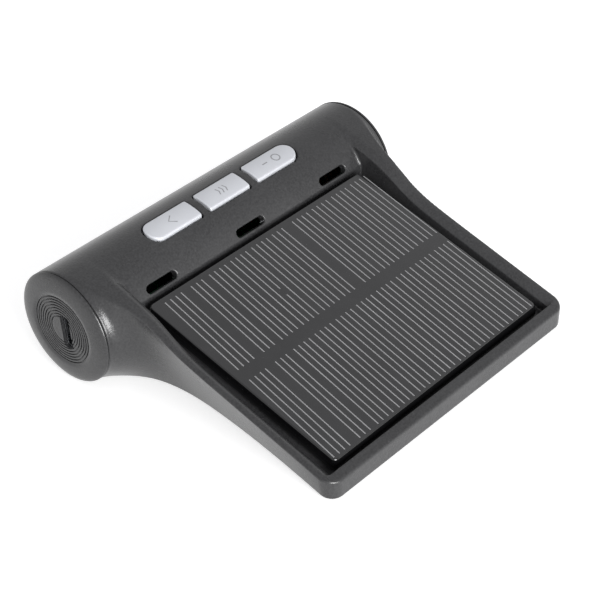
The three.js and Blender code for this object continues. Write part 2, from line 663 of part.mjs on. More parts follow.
function makeBoard() {
  const lowerEdge = -boardHalfHeight;
  const slab = box([-boardHalfLength, boardHalfLength], [boardFace, boardBack],
    [-boardHalfHeight, boardHalfHeight]);
  return [
    piece('main_board', slab, 0x1d5a34, 0.5, 0),
    ...makeUsb(),
    chip('microcontroller', -13, -1.8, [9, 1.2, 9], 0x1a1a1b),
    chip('receiver_chip', 22, 0.5, [5, 1.0, 5], 0x1a1a1b),
    chip('charge_chip', -32.5, 3.5, [3, 1.1, 3], 0x1a1a1b),
    chip('crystal', 22, lowerEdge + 3.4, [7, 2, 3], 0xb4b6b8),
    chip('battery_connector', BATTERY_WIRE_X + WIRE_SPACING / 2, lowerEdge + 3.2, [6, 4, 4], 0xe4e0d2),
    chip('motion_sensor', 7.6, 0.6, [5, 2.4, 2.4], 0xc9a24a),
    can('buzzer', -25.5, -1.5, 4.5, 3, 0x161616, 0),
    makeAntenna(),
  ];
}

function makeDisplay() {
  const halfHeight = frameOuter * Math.sin(FRAME_HALF_ANGLE);
  const halfLength = windowHalf - WINDOW_LEDGE + FRAME_END;
  const glassHalf = halfHeight - FRAME_SIDE - CLEARANCE;
  const glassLength = halfLength - FRAME_SIDE - CLEARANCE;
  const glass = [frameFront + GLASS_PROUD - LCD_THICKNESS, frameFront + GLASS_PROUD];
  const light = [glass[0] - CLEARANCE - BACKLIGHT_THICKNESS, glass[0] - CLEARANCE];
  const strip = [-glassHalf, -glassHalf + STRIP_HEIGHT];
  const pocket = box([-glassLength - CLEARANCE, glassLength + CLEARANCE],
    [light[0] - CLEARANCE, frameFront + 1], [-glassHalf - CLEARANCE, glassHalf + CLEARANCE]);
  const slot = box([-STRIP_HALF_LENGTH - CLEARANCE, STRIP_HALF_LENGTH + CLEARANCE],
    [frameBack - 1, frameFront], [strip[0] - CLEARANCE, strip[1] + CLEARANCE]);
  const frame = solidOf(box([-halfLength, halfLength], [frameBack, frameFront], [-halfHeight, halfHeight]))
    .subtract(solidOf(pocket)).subtract(solidOf(slot));
  const stripBack = boardBack * Math.cos(BOARD_LEAN) + CLEARANCE;
  const window = tubeSector(windowInner, BARREL_RADIUS, -WINDOW_HALF_ANGLE, WINDOW_HALF_ANGLE,
    -windowHalf, windowHalf);
  return [
    piece('display_window', window, 0x101113, 0.08, 0),
    piece('lcd_glass', box([-glassLength, glassLength], glass, [-glassHalf, glassHalf]), 0x3b4238, 0.15, 0),
    piece('backlight', box([-glassLength, glassLength], light,
      [strip[1] + 2 * CLEARANCE, glassHalf]), 0xf0f2f4, 0.4, 0),
    piece('lcd_frame', frame, 0xe6e6e2, 0.6, 0),
    piece('contact_strip', box([-STRIP_HALF_LENGTH, STRIP_HALF_LENGTH],
      [stripBack, glass[0] - CLEARANCE], strip), 0x3a3a3c, 0.8, 0),
  ];
}

// The panel's frame: origin at the middle of its top face, +Y up the slope, +Z out of it
function makePanel() {
  const half = panelLength / 2;
  const layers = { epoxy: -PANEL_EPOXY };
  layers.cell = layers.epoxy - LAYER_GAP;
  layers.board = layers.cell - CELL_THICKNESS - LAYER_GAP;
  const board = box([-panelHalf, panelHalf], [-half, half], [layers.board - PANEL_BOARD, layers.board]);
  const epoxy = roundedPlate([-panelHalf, panelHalf], [-half, half], [1.5, 1.5], layers.epoxy, 0);
  const width = (2 * (panelHalf - CELL_BORDER) + CELL_GAP) / CELL_COUNT;
  const cells = [];
  for (let i = 0; i < CELL_COUNT; i++) {
    const left = -panelHalf + CELL_BORDER + i * width;
    const cell = box([left, left + width - CELL_GAP], [-half + CELL_BORDER, half - CELL_BORDER],
      [layers.cell - CELL_THICKNESS, layers.cell]);
    cells.push(piece(`solar_cell_${i + 1}`, cell, 0x23252b, 0.3, 0.2));
  }
  return [
    piece('solar_board', board, 0x17181a, 0.6, 0),
    ...cells,
    piece('solar_epoxy', epoxy, 0x303236, 0.1, 0),
  ];
}

function makeBattery() {
  const x = [-BATTERY_LENGTH / 2, BATTERY_LENGTH / 2];
  const y = [axisY - batteryFront, axisY - BATTERY_BACK];
  const tape = box([x[0] + TAPE_END_INSET, x[1] - TAPE_END_INSET],
    [y[0] + TAPE_SIDE_INSET, y[1] - TAPE_SIDE_INSET], [tapeBottom, tapeBottom + TAPE_THICKNESS]);
  return [
    piece('battery_tape', tape, 0xd8d8d4, 0.8, 0),
    piece('battery', box(x, y, [batteryBottom, batteryBottom + BATTERY_THICKNESS]), 0xa9adb2, 0.4, 0.5),
  ];
}

// The leads run from the panel and the battery to the board's front face
function makeLeads() {
  const solarTop = panelTop(panelBack + 5) - panelThickness / Math.cos(panelSlope) - CLEARANCE - WIRE_RADIUS;
  const batteryLevel = batteryBottom + BATTERY_THICKNESS / 2;
  const solar = [
    [panelBack + 5, solarTop], [panelBack + 4.9, solarTop - 2.2], [panelBack + 2.5, solarTop - 4],
    [BARREL_RADIUS * 0.5, axisZ - 3.2], [SOLAR_WIRE_END - boardFace, axisZ - 3.4],
  ];
  const battery = [
    [BATTERY_BACK - 0.3, batteryLevel], [BATTERY_BACK - 3, batteryLevel + 0.2],
    [BARREL_RADIUS * 0.7, axisZ - 6], [BATTERY_WIRE_END - boardFace, axisZ - 5.4],
  ];
  const runs = [
    ['solar_lead', SOLAR_WIRE_X, solar],
    ['battery_lead', BATTERY_WIRE_X, battery],
  ];
  return runs.flatMap(([name, x, route]) => ['plus', 'minus'].map((pole, i) => {
    const at = x + i * WIRE_SPACING;
    const points = route.map(([distance, z]) => new THREE.Vector3(at, axisY - distance, z));
    const path = new THREE.CatmullRomCurve3(points);
    return piece(`${name}_${pole}`, wire(path, WIRE_RADIUS, 16, 8), i === 0 ? 0xa3211c : 0x18181a, 0.6, 0);
  }));
}

const monitor = new THREE.Group();
monitor.add(makeShell(), makeCover(), makePad(), ...screwPlaces.map((_, i) => makeScrew(i)));
monitor.add(makeCap('left_end_cap', -1), makeCap('right_end_cap', 1));
monitor.add(...makeBattery(), ...makeLeads());

const display = new THREE.Group();
display.position.set(0, axisY, axisZ);
display.add(...makeDisplay());

const board = new THREE.Group();
board.position.copy(display.position);
board.rotation.x = -BOARD_LEAN;
board.add(...makeBoard(), ...buttons.map(makeButton), ...buttons.flatMap(makeSwitch));

const panel = new THREE.Group();
panel.position.set(0, axisY - (panelBack + panelFront) / 2, (panelTop(panelBack) + panelTop(panelFront)) / 2);
panel.rotation.x = panelSlope;
panel.add(...makePanel());

monitor.add(display, board, panel);
monitor.updateMatrixWorld(true);

export default monitor;
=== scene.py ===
import json
import math

import bmesh
import bpy
import numpy as np
from mathutils import Matrix, Vector


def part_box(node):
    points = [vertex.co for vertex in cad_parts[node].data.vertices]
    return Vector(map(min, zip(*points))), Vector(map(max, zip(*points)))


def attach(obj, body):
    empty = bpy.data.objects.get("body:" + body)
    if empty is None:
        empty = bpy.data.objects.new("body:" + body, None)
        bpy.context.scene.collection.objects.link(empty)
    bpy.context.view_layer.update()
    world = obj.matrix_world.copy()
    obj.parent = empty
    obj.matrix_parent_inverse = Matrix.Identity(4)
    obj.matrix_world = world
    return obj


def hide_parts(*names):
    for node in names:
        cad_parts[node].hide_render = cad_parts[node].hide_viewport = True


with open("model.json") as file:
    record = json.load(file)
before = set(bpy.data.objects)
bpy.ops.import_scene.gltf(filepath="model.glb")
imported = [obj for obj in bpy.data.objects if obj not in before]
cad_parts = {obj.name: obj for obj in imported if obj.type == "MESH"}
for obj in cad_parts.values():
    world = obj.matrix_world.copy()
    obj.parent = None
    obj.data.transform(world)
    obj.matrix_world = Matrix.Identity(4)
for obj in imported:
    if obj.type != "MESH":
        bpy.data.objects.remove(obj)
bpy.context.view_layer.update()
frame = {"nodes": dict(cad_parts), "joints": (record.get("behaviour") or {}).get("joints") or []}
nodes = frame["nodes"]
mm = 0.001


def boxOf(name):
    return [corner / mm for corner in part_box(name)]


# Sizes read off the frame, in millimetres
shellLow, shellHigh = boxOf("top_shell")
radius = (shellHigh.z - shellLow.z) / 2
axisY = shellHigh.y - radius
axisZ = shellLow.z + radius
reach = axisY - shellLow.y
barrelHalf = shellHigh.x
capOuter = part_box("right_end_cap")[1].x / mm
epoxyPoints = [v.co / mm for v in nodes["solar_epoxy"].data.vertices]
panelRear = max(epoxyPoints, key=lambda p: p.z)
panelFront = min(epoxyPoints, key=lambda p: p.y)
panelHalf = max(p.x for p in epoxyPoints)
panelDrop = panelRear.z - panelFront.z
panelRun = panelRear.y - panelFront.y
panelSlope = math.atan2(panelDrop, panelRun)
panelLength = math.hypot(panelDrop, panelRun)
panelMiddle = Vector((0, panelRear.y + panelFront.y, panelRear.z + panelFront.z)) / 2
leanAxis = frame["joints"][0]["axis"]
boardLean = math.atan2(-leanAxis[1], -leanAxis[2])
panelPlace = Matrix.Translation(panelMiddle * mm) @ Matrix.Rotation(panelSlope, 4, "X") @ Matrix.Scale(mm, 4)
barrelPlace = Matrix.Translation(Vector((0, axisY, axisZ)) * mm) @ Matrix.Scale(mm, 4)
plainPlace = Matrix.Scale(mm, 4)

caseSizes = {
    "barrelEdge": 0.5, "wingHalf": 36.5, "waistHalf": 30.6, "waistReach": 22, "waistFlare": 0.0214,
    "waistPower": 1.5, "rimFront": 4.3, "rimBack": 18.0, "rimScale": 0.95,
    "shoulderLift": 0.5, "shoulderReach": 8.5, "shoulderRun": 2.6, "corner": 3.3, "edge": 0.5,
    "crownRun": 6, "crownDrop": 0.4, "crownFall": 0.02, "crownTilt": 0.12, "crownBlend": 0.6,
    "endBlend": 3.2, "endGap": 0.9, "grow": 0.2, "union": 0.7, "footEdge": 0.5,
    "pocketHalf": 33.7, "bevelHalf": 35.0, "bevelDepth": 1.0, "bevelEdge": 0.25, "pocketFront": 2.2,
    "pocketBack": 10.9, "pocketPast": 3, "pocketCorner": 0.6, "pocketEdge": 0.3, "pocketLip": 0.5,
    "panelThickness": 2.6, "wall": 1.8, "floor": 1.3, "gap": 0.3, "holeEdge": 0.25,
    "underHalf": 29, "underRear": 5, "underFront": 45.5, "coverSkin": 1.5,
    "openingHalf": 25.7, "openingTop": 8, "openingRear": 6.5, "step": 0.34, "mostTriangles": 190000,
}
buttonSizes = {"flange": 0.7, "flangeRadius": 9.5, "flangeHalf": 0.3, "proud": 0.3, "gap": 0.34,
               "square": 0.35, "start": 88, "end": 113, "depth": 2.4, "lowest": 4, "openingLowest": 6,
               "edge": 0.3, "innerEdge": 0.1, "step": 0.13}
ventSizes = {"spacing": 25.3, "length": 8.0, "width": 1.8, "angle": 147.5, "lowest": 8}
windowSizes = {"half": 33.0, "angle": 37, "thickness": 1.0, "corner": 1.6, "gap": 0.2, "edge": 0.3,
               "innerEdge": 0.2, "step": 0.3}


# Shapes as distance fields, in millimetres
def smoothMax(a, b, k):
    h = np.maximum(k - np.abs(a - b), 0) / k
    return np.maximum(a, b) + h * h * k / 4


def smoothMin(a, b, k):
    return -smoothMax(-a, -b, k)


def roundCorner(a, b, r):
    # the inside of two walls that meet in a corner of radius r
    return np.minimum(np.maximum(a + r, b + r), 0) + np.hypot(np.maximum(a + r, 0), np.maximum(b + r, 0)) - r


def onBoard(y, z):
    # (how far towards the display, how far up) in the leaning board's own frame
    dy, dz = y - axisY, z - axisZ
    return (dy * math.cos(boardLean) - dz * math.sin(boardLean),
            dy * math.sin(boardLean) + dz * math.cos(boardLean))


def slopeAt(d, near, nearHeight, far, farHeight):
    return shellLow.z + nearHeight + (farHeight - nearHeight) * (d - near) / (far - near)


def panelTop(d):
    return panelFront.z + (reach - d - (panelFront.y - shellLow.y)) * math.tan(panelSlope)


def rimHeight(d):
    s = caseSizes
    top = axisZ + radius
    line = slopeAt(d, radius, s["rimBack"], reach, s["rimFront"])
    lift = top - slopeAt(0, radius, s["rimBack"], reach, s["rimFront"]) + s["shoulderLift"]
    shoulder = lift / (1 + np.exp((d - radius - s["shoulderReach"]) / s["shoulderRun"]))
    # over the barrel the rim rises slowly out of the round surface
    barrelTop = axisZ + np.sqrt(np.maximum(radius ** 2 - d ** 2, 0))
    share = np.clip(d / s["crownRun"], 0, 1)
    share = share * share * (3 - 2 * share)
    arch = top - s["crownFall"] * d ** 2 + s["crownTilt"] * d
    crown = barrelTop - s["crownDrop"] * (1 - share) + (arch - barrelTop) * share
    return np.where(d < radius, smoothMin(line + shoulder, crown, s["crownBlend"]), line + shoulder)


def flankHalf(d, level, fromBarrel):
    # the flank leans in towards the floor, and sweeps out to the barrel's end close to the barrel
    s = caseSizes
    bottom = s["waistHalf"] + s["waistFlare"] * np.maximum(d - s["waistReach"], 0) ** s["waistPower"]
    half = bottom + (s["wingHalf"] - bottom) * np.clip(level, 0, 1) + s["grow"]
    return half + (barrelHalf - s["endGap"] - half) * np.exp(-np.maximum(fromBarrel, 0) / s["endBlend"])


def pastAngle(y, z, angle):
    # how far round the barrel a point is past an angle from +Y
    return np.abs(np.arctan2(z - axisZ, y - axisY)) * radius - math.radians(angle) * radius


def buttonSpans():
    spans = {}
    for name in ("left", "middle", "right"):
        low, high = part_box("button_" + name)
        spans[name] = (low.x / mm + buttonSizes["flange"], high.x / mm - buttonSizes["flange"])
    return spans


def buttonOutline(x, w, name, grow):
    s = buttonSizes
    low, high = buttonSpans()[name]
    depth = [radius * math.cos(math.radians(s[k]) + boardLean) for k in ("end", "start")]
    half = (depth[1] - depth[0]) / 2
    across = np.abs(w - (depth[0] + depth[1]) / 2) - half
    square = s["square"] + grow
    left = low - x - grow
    right = x - high - grow
    sides = across - grow
    leftCorner = half + grow if name == "left" else square
    rightCorner = half + grow if name == "right" else square
    return np.where(x < (low + high) / 2, roundCorner(left, sides, leftCorner),
                    roundCorner(right, sides, rightCorner))


def caseField(x, y, z):
    s = caseSizes
    d = axisY - y
    side = np.abs(x)
    fromAxis = np.hypot(y - axisY, z - axisZ)
    barrel = smoothMax(fromAxis - radius, side - barrelHalf, s["barrelEdge"])
    rim = rimHeight(d)
    level = (z - shellLow.z) / np.maximum(rim - shellLow.z, 1)
    plan = roundCorner(side - flankHalf(d, level, fromAxis - radius), d - reach - s["grow"], s["corner"])
    wing = smoothMax((z - rim) * s["rimScale"], plan, s["edge"])
    wing = smoothMax(wing, shellLow.z - z, s["footEdge"])
    wing = np.maximum(wing, -d)
    floor = panelTop(d) - (s["panelThickness"] + s["gap"]) / math.cos(panelSlope)
    bevelRun = (s["bevelHalf"] - s["pocketHalf"]) / s["bevelDepth"]
    bevel = (side - s["bevelHalf"] + (rim - z) * bevelRun) / math.hypot(1, bevelRun)
    walls = smoothMin(side - s["pocketHalf"], bevel, s["bevelEdge"])
    pocket = roundCorner(walls, d - reach + s["pocketFront"], s["pocketCorner"])
    pocket = smoothMax(pocket, floor - z, s["pocketEdge"])
    cutWing = smoothMax(wing, -np.maximum(pocket, -s["pocketPast"] - d), s["pocketLip"])
    case = smoothMin(cutWing, barrel, s["union"])
    case = smoothMax(case, -smoothMax(pocket, s["pocketBack"] - d, s["pocketEdge"]), s["pocketEdge"])
    # inside: the bore, the space under the pocket, and the opening that the bottom cover closes
    bore = fromAxis - (radius - s["wall"])
    under = np.maximum(s["underRear"] - d, d - s["underFront"])
    under = np.maximum(np.maximum(side - s["underHalf"], z - floor + s["floor"]), under)
    coverLow, coverHigh = boxOf("bottom_cover")
    recess = np.maximum(side - coverHigh.x - s["gap"], z - coverHigh.z - s["gap"])
    recess = np.maximum(recess, np.maximum(y - coverHigh.y - s["gap"], coverLow.y - y - s["gap"]))
    under = np.maximum(under, coverHigh.z + s["coverSkin"] - z)
    opening = np.maximum(s["openingRear"] - d, d - s["underFront"])
    opening = np.maximum(np.maximum(side - s["openingHalf"], z - s["openingTop"]), opening)
    hollow = np.minimum(np.minimum(bore, under), np.minimum(recess, opening))
    case = smoothMax(case, -hollow, s["holeEdge"])
    # the display window's opening
    w = windowSizes
    arc = pastAngle(y, z, w["angle"])
    window = roundCorner(side - w["half"] - w["gap"], arc - w["gap"], w["corner"])
    case = smoothMax(case, -window, s["holeEdge"])
    # button openings and vents
    across, up = onBoard(y, z)
    for name in buttonSpans():
        outline = buttonOutline(x, across, name, buttonSizes["gap"])
        column = np.maximum(outline, buttonSizes["openingLowest"] - up)
        case = smoothMax(case, -column, s["holeEdge"])
    v = ventSizes
    turn = math.radians(v["angle"])
    outward = (y - axisY) * math.cos(turn) + (z - axisZ) * math.sin(turn)
    along = (z - axisZ) * math.cos(turn) - (y - axisY) * math.sin(turn)
    for place in (-1, 0, 1):
        end = np.maximum(np.abs(x - place * v["spacing"]) - (v["length"] - v["width"]) / 2, 0)
        vent = np.maximum(np.hypot(end, along) - v["width"] / 2, v["lowest"] - outward)
        case = smoothMax(case, -vent, s["holeEdge"])
    return case


def buttonField(name):
    s = buttonSizes

    def field(x, y, z):
        across, up = onBoard(y, z)
        fromAxis = np.hypot(y - axisY, z - axisZ)
        cap = smoothMax(buttonOutline(x, across, name, 0), fromAxis - radius - s["proud"], s["edge"])
        cap = smoothMax(cap, radius - s["depth"] - fromAxis, s["innerEdge"])
        shelf = np.abs(fromAxis - s["flangeRadius"]) - s["flangeHalf"]
        flange = smoothMax(buttonOutline(x, across, name, s["flange"]), shelf, s["innerEdge"])
        return np.maximum(np.minimum(cap, flange), s["lowest"] - up)
    return field


def windowField(x, y, z):
    s = windowSizes
    fromAxis = np.hypot(y - axisY, z - axisZ)
    outline = roundCorner(np.abs(x) - s["half"], pastAngle(y, z, s["angle"]), s["corner"])
    lens = smoothMax(outline, fromAxis - radius, s["edge"])
    return smoothMax(lens, radius - s["thickness"] - fromAxis, s["innerEdge"])


def gradientAt(field, points, step=0.02):
    parts = []
    for k in range(3):
        ahead, behind = points.copy(), points.copy()
        ahead[:, k] += step
        behind[:, k] -= step
        parts.append((field(*ahead.T) - field(*behind.T)) / (2 * step))
    return np.stack(parts, 1)


def skinOf(field, low, high, step):
    # a net of quads on the surface where the field is zero, one corner for each cell that it crosses
    low, high = np.array(low, float) - 2.1 * step, np.array(high, float) + 2.1 * step
    axes = [np.arange(low[k], high[k] + step, step) for k in range(3)]
    values = field(*np.meshgrid(*axes, indexing="ij"))
    inside = values < 0
    shape = [n - 1 for n in inside.shape]
    corners = [inside[i:i + shape[0], j:j + shape[1], k:k + shape[2]]
               for i in (0, 1) for j in (0, 1) for k in (0, 1)]
    total = sum(c.astype(np.int8) for c in corners)
    crossed = (total > 0) & (total < 8)
    number = np.full(shape, -1, np.int64)
    number[crossed] = np.arange(crossed.sum())
    cells = np.argwhere(crossed)
    points = sumOfCrossings(values, cells, step, low)
    quads = []
    for axis in range(3):
        a, b = [(1, 2), (2, 0), (0, 1)][axis]
        lowSide = [slice(None)] * 3
        highSide = [slice(None)] * 3
        lowSide[axis], highSide[axis] = slice(0, -1), slice(1, None)
        first, second = inside[tuple(lowSide)], inside[tuple(highSide)]
        for flip in (False, True):
            edges = np.argwhere((first & ~second) if not flip else (~first & second))
            keep = (edges[:, a] > 0) & (edges[:, b] > 0) & (edges[:, a] < shape[a]) & (edges[:, b] < shape[b])
            edges = edges[keep]
            ring = []
            for back, side in ((1, 1), (0, 1), (0, 0), (1, 0)):
                cell = edges.copy()
                cell[:, a] -= back
                cell[:, b] -= side
                ring.append(number[tuple(cell.T)])
            ring = np.stack(ring, 1)
            quads.append(ring[:, ::-1] if flip else ring)
    for _ in range(4):
        slope = gradientAt(field, points)
        size = np.maximum((slope ** 2).sum(1), 0.05)
        points = points - np.clip(field(*points.T) / size, -step, step)[:, None] * slope
    return points, np.concatenate(quads)


def sumOfCrossings(values, cells, step, low):
    total = np.zeros((len(cells), 3))
    count = np.zeros(len(cells))
    for axis in range(3):
        for i in (0, 1):
            for j in (0, 1):
                start = np.insert(np.array([i, j]), axis, 0)
                end = np.insert(np.array([i, j]), axis, 1)
                a = values[tuple((cells + start).T)]
                b = values[tuple((cells + end).T)]
                hit = (a < 0) != (b < 0)
                share = np.where(hit, a / np.where(hit, a - b, 1), 0)
                place = start + share[:, None] * (end - start)
                total += np.where(hit[:, None], place, 0)
                count += hit
    return low + (cells + total / np.maximum(count, 1)[:, None]) * step


def pieceFrom(name, vertices, faces, material, place=plainPlace):
    mesh = bpy.data.meshes.new(name)
    mesh.from_pydata([tuple(v) for v in vertices], [], [tuple(int(i) for i in f) for f in faces])
    mesh.transform(place)
    mesh.polygons.foreach_set("use_smooth", [True] * len(mesh.polygons))
    mesh.materials.append(material)
    mesh.update()
    piece = bpy.data.objects.new(name, mesh)
    bpy.context.scene.collection.objects.link(piece)
    return piece


def finished(piece):
    # the piece with its modifiers applied, as a plain mesh
    bpy.context.view_layer.update()
    mesh = bpy.data.meshes.new_from_object(piece.evaluated_get(bpy.context.evaluated_depsgraph_get()))
    piece.modifiers.clear()
    piece.data = mesh
    return piece


def fieldPiece(name, field, low, high, step, material, mostTriangles=None):
    points, quads = skinOf(field, low, high, step)
    piece = pieceFrom(name, points, quads, material)
    if mostTriangles and 2 * len(quads) > mostTriangles:
        thin = piece.modifiers.new("thin", "DECIMATE")
        thin.ratio = mostTriangles / (2 * len(quads))
        finished(piece)
    mesh = piece.data
    ends = np.zeros(len(mesh.vertices) * 3)
    mesh.vertices.foreach_get("co", ends)
    slope = gradientAt(field, ends.reshape(-1, 3) / mm, 0.04)
    slope /= np.maximum(np.linalg.norm(slope, axis=1), 1e-9)[:, None]
    mesh.polygons.foreach_set("use_smooth", [True] * len(mesh.polygons))
    mesh.normals_split_custom_set_from_vertices([tuple(n) for n in slope])
    print(name, len(mesh.polygons), "faces")
    return piece


def tidyMesh(mesh):
    shape = bmesh.new()
    shape.from_mesh(mesh)
    bmesh.ops.remove_doubles(shape, verts=shape.verts, dist=1e-7)
    bmesh.ops.recalc_face_normals(shape, faces=shape.faces)
    if shape.calc_volume(signed=True) < 0:
        bmesh.ops.reverse_faces(shape, faces=shape.faces)
    shape.to_mesh(mesh)
    shape.free()


def sharpen(piece, angle):
    piece.data.polygons.foreach_set("use_smooth", [True] * len(piece.data.polygons))
    piece.data.set_sharp_from_angle(angle=math.radians(angle))


def plateRing(halfX, halfY, corner, steps=8):
    ring = []
    for quarter, (sx, sy) in enumerate(((1, 1), (-1, 1), (-1, -1), (1, -1))):
        for i in range(steps + 1):
            angle = math.pi / 2 * (quarter + i / steps)
            ring.append((sx * (halfX - corner) + corner * math.cos(angle),
                         sy * (halfY - corner) + corner * math.sin(angle)))
    return ring


def ringFaces(n, rings=2):
    # walls between rings of n points, closed at both ends
    faces = [[k * n + i, k * n + (i + 1) % n, (k + 1) * n + (i + 1) % n, (k + 1) * n + i]
             for k in range(rings - 1) for i in range(n)]
    return faces + [list(range(n))[::-1], list(range((rings - 1) * n, rings * n))]


def softened(piece, width, segments, angle):
    bevel = piece.modifiers.new("edges", "BEVEL")
    bevel.width = width * mm
    bevel.segments = segments
    bevel.limit_method = "ANGLE"
    bevel.angle_limit = math.radians(angle)
    finished(piece)


# Materials
def grainGroup():
    # fine moulded texture: a normal, and a mask that varies slowly over the surface
    group = bpy.data.node_groups.new("mouldGrain", "ShaderNodeTree")
    face = group.interface
    for name, kind, value in (("Grain", "NodeSocketFloat", 3000), ("Depth", "NodeSocketFloat", 0.1),
                              ("Patch", "NodeSocketFloat", 90)):
        face.new_socket(name, in_out="INPUT", socket_type=kind).default_value = value
    face.new_socket("Normal", in_out="OUTPUT", socket_type="NodeSocketVector")
    face.new_socket("Patches", in_out="OUTPUT", socket_type="NodeSocketFloat")
    face.new_socket("Specks", in_out="OUTPUT", socket_type="NodeSocketFloat")
    tree = group.nodes
    start, end = tree.new("NodeGroupInput"), tree.new("NodeGroupOutput")
    place = tree.new("ShaderNodeTexCoord")
    fine, slow = tree.new("ShaderNodeTexNoise"), tree.new("ShaderNodeTexNoise")
    bump = tree.new("ShaderNodeBump")
    fine.inputs["Detail"].default_value = 3
    slow.inputs["Detail"].default_value = 4
    bump.inputs["Distance"].default_value = 0.00006
    link = group.links.new
    link(place.outputs["Object"], fine.inputs["Vector"])
    link(place.outputs["Object"], slow.inputs["Vector"])
    link(start.outputs["Grain"], fine.inputs["Scale"])
    link(start.outputs["Patch"], slow.inputs["Scale"])
    link(start.outputs["Depth"], bump.inputs["Strength"])
    link(fine.outputs["Fac"], bump.inputs["Height"])
    link(bump.outputs["Normal"], end.inputs["Normal"])
    link(slow.outputs["Fac"], end.inputs["Patches"])
    link(fine.outputs["Fac"], end.inputs["Specks"])
    return group


grain = grainGroup()


def shade(value):
    # one sRGB level, 0 to 255, as a linear value
    level = value / 255
    return level / 12.92 if level <= 0.04045 else ((level + 0.055) / 1.055) ** 2.4


def surface(name, dark, light, roughness, grainSize=3000, depth=0.1, patch=90, metallic=0.0, speckle=0.35,
            coat=0.0):
    material = bpy.data.materials.new(name)
    material.use_nodes = True
    tree, link = material.node_tree.nodes, material.node_tree.links.new
    shader = tree["Principled BSDF"]
    group = tree.new("ShaderNodeGroup")
    group.node_tree = grain
    group.inputs["Grain"].default_value = grainSize
    group.inputs["Depth"].default_value = depth
    group.inputs["Patch"].default_value = patch
    both = tree.new("ShaderNodeMix")
    both.inputs["Factor"].default_value = speckle
    colour = tree.new("ShaderNodeValToRGB")
    for element, level in zip(colour.color_ramp.elements, (dark, light)):
        element.color = (*[shade(v) for v in level], 1)
    colour.color_ramp.elements[0].position = 0.35
    colour.color_ramp.elements[1].position = 0.65
    polish = tree.new("ShaderNodeMapRange")
    polish.inputs["To Min"].default_value = roughness[0]
    polish.inputs["To Max"].default_value = roughness[1]
    link(group.outputs["Patches"], both.inputs["A"])
    link(group.outputs["Specks"], both.inputs["B"])
    link(both.outputs["Result"], colour.inputs["Fac"])
    link(group.outputs["Patches"], polish.inputs["Value"])
    link(colour.outputs["Color"], shader.inputs["Base Color"])
    link(polish.outputs["Result"], shader.inputs["Roughness"])
    link(group.outputs["Normal"], shader.inputs["Normal"])
    shader.inputs["Metallic"].default_value = metallic
    shader.inputs["Coat Weight"].default_value = coat
    shader.inputs["Coat Roughness"].default_value = 0.06
    return material


looks = {
    "case": surface("case_plastic", (38, 38, 39), (54, 54, 55), (0.24, 0.32), 2400, 0.6, speckle=0.75),
    "cover": surface("cover_plastic", (50, 50, 51), (60, 60, 61), (0.5, 0.6), 1800, 0.5),
    "button": surface("button_silver", (190, 192, 197), (198, 200, 205), (0.3, 0.36), 6000, 0.03,
                      metallic=0.25),
    "mark": surface("button_mark", (130, 131, 134), (140, 141, 144), (0.4, 0.5), 5000, 0.05),
    "window": surface("window_smoke", (7, 7, 9), (10, 10, 12), (0.05, 0.08), 300, 0.01, coat=0.6),
    "panel": surface("panel_epoxy", (32, 32, 33), (37, 37, 38), (0.15, 0.19), 700, 0.02, 140, coat=0.5),
    # painted shade: a near-black copy of the panel epoxy for the panel's side faces, standing in for the
    # shade in the gap round the panel
    "side": surface("epoxy_side_painted_shade", (9, 9, 10), (14, 14, 15), (0.07, 0.1), 500, 0.02, coat=0.5),
    "grid": surface("cell_grid", (124, 124, 125), (138, 138, 139), (0.2, 0.26), 4000, 0.03, coat=0.4),
    "cell": surface("cell_silicon", (26, 28, 36), (32, 34, 44), (0.2, 0.3), 900, 0.02),
    "board": surface("board_mask", (18, 78, 42), (26, 92, 52), (0.35, 0.45), 1200, 0.15),
    "chip": surface("chip_mould", (24, 24, 25), (34, 34, 35), (0.5, 0.6), 3000, 0.2),
    "steel": surface("plated_steel", (196, 198, 202), (214, 216, 220), (0.2, 0.3), 2500, 0.05, metallic=1.0),
    "brass": surface("spring_wire", (190, 140, 70), (214, 166, 92), (0.25, 0.35), 2500, 0.05, metallic=1.0),
    "enamel": surface("enamelled_wire", (66, 38, 26), (84, 50, 34), (0.3, 0.4), 2500, 0.05, metallic=0.4),
    "white": surface("white_moulding", (222, 222, 218), (232, 232, 229), (0.4, 0.5), 2200, 0.15),
    "glass": surface("lcd_face", (60, 66, 58), (68, 74, 66), (0.08, 0.12), 500, 0.01),
    "foil": surface("pouch_foil", (160, 165, 170), (182, 186, 190), (0.3, 0.45), 500, 0.4, metallic=0.7),
    "rubber": surface("pad_rubber", (20, 20, 20), (30, 30, 30), (0.75, 0.88), 1500, 0.6),
    "foam": surface("foam_tape", (205, 205, 200), (225, 225, 220), (0.8, 0.9), 1800, 0.6),
    "red": surface("lead_red", (150, 26, 22), (168, 34, 28), (0.35, 0.45), 1500, 0.1),
    "black": surface("lead_black", (20, 20, 22), (30, 30, 32), (0.35, 0.45), 1500, 0.1),
}
print("materials made")

# The case, its window and its buttons
shellPiece = fieldPiece("caseShell", caseField, shellLow, shellHigh, caseSizes["step"], looks["case"],
                        caseSizes["mostTriangles"])
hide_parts("top_shell")
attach(shellPiece, "case")

windowLow, windowHigh = boxOf("display_window")
windowPiece = fieldPiece("displayLens", windowField, windowLow, windowHigh, windowSizes["step"],
                         looks["window"])
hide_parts("display_window")
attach(windowPiece, "case")

for name in buttonSpans():
    low, high = boxOf("button_" + name)
    body = name + "_button"
    cap = fieldPiece("buttonCap_" + name, buttonField(name), low, high, buttonSizes["step"],
                     looks["button"])
    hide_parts("button_" + name)
    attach(cap, body)
print("case, window and buttons made")


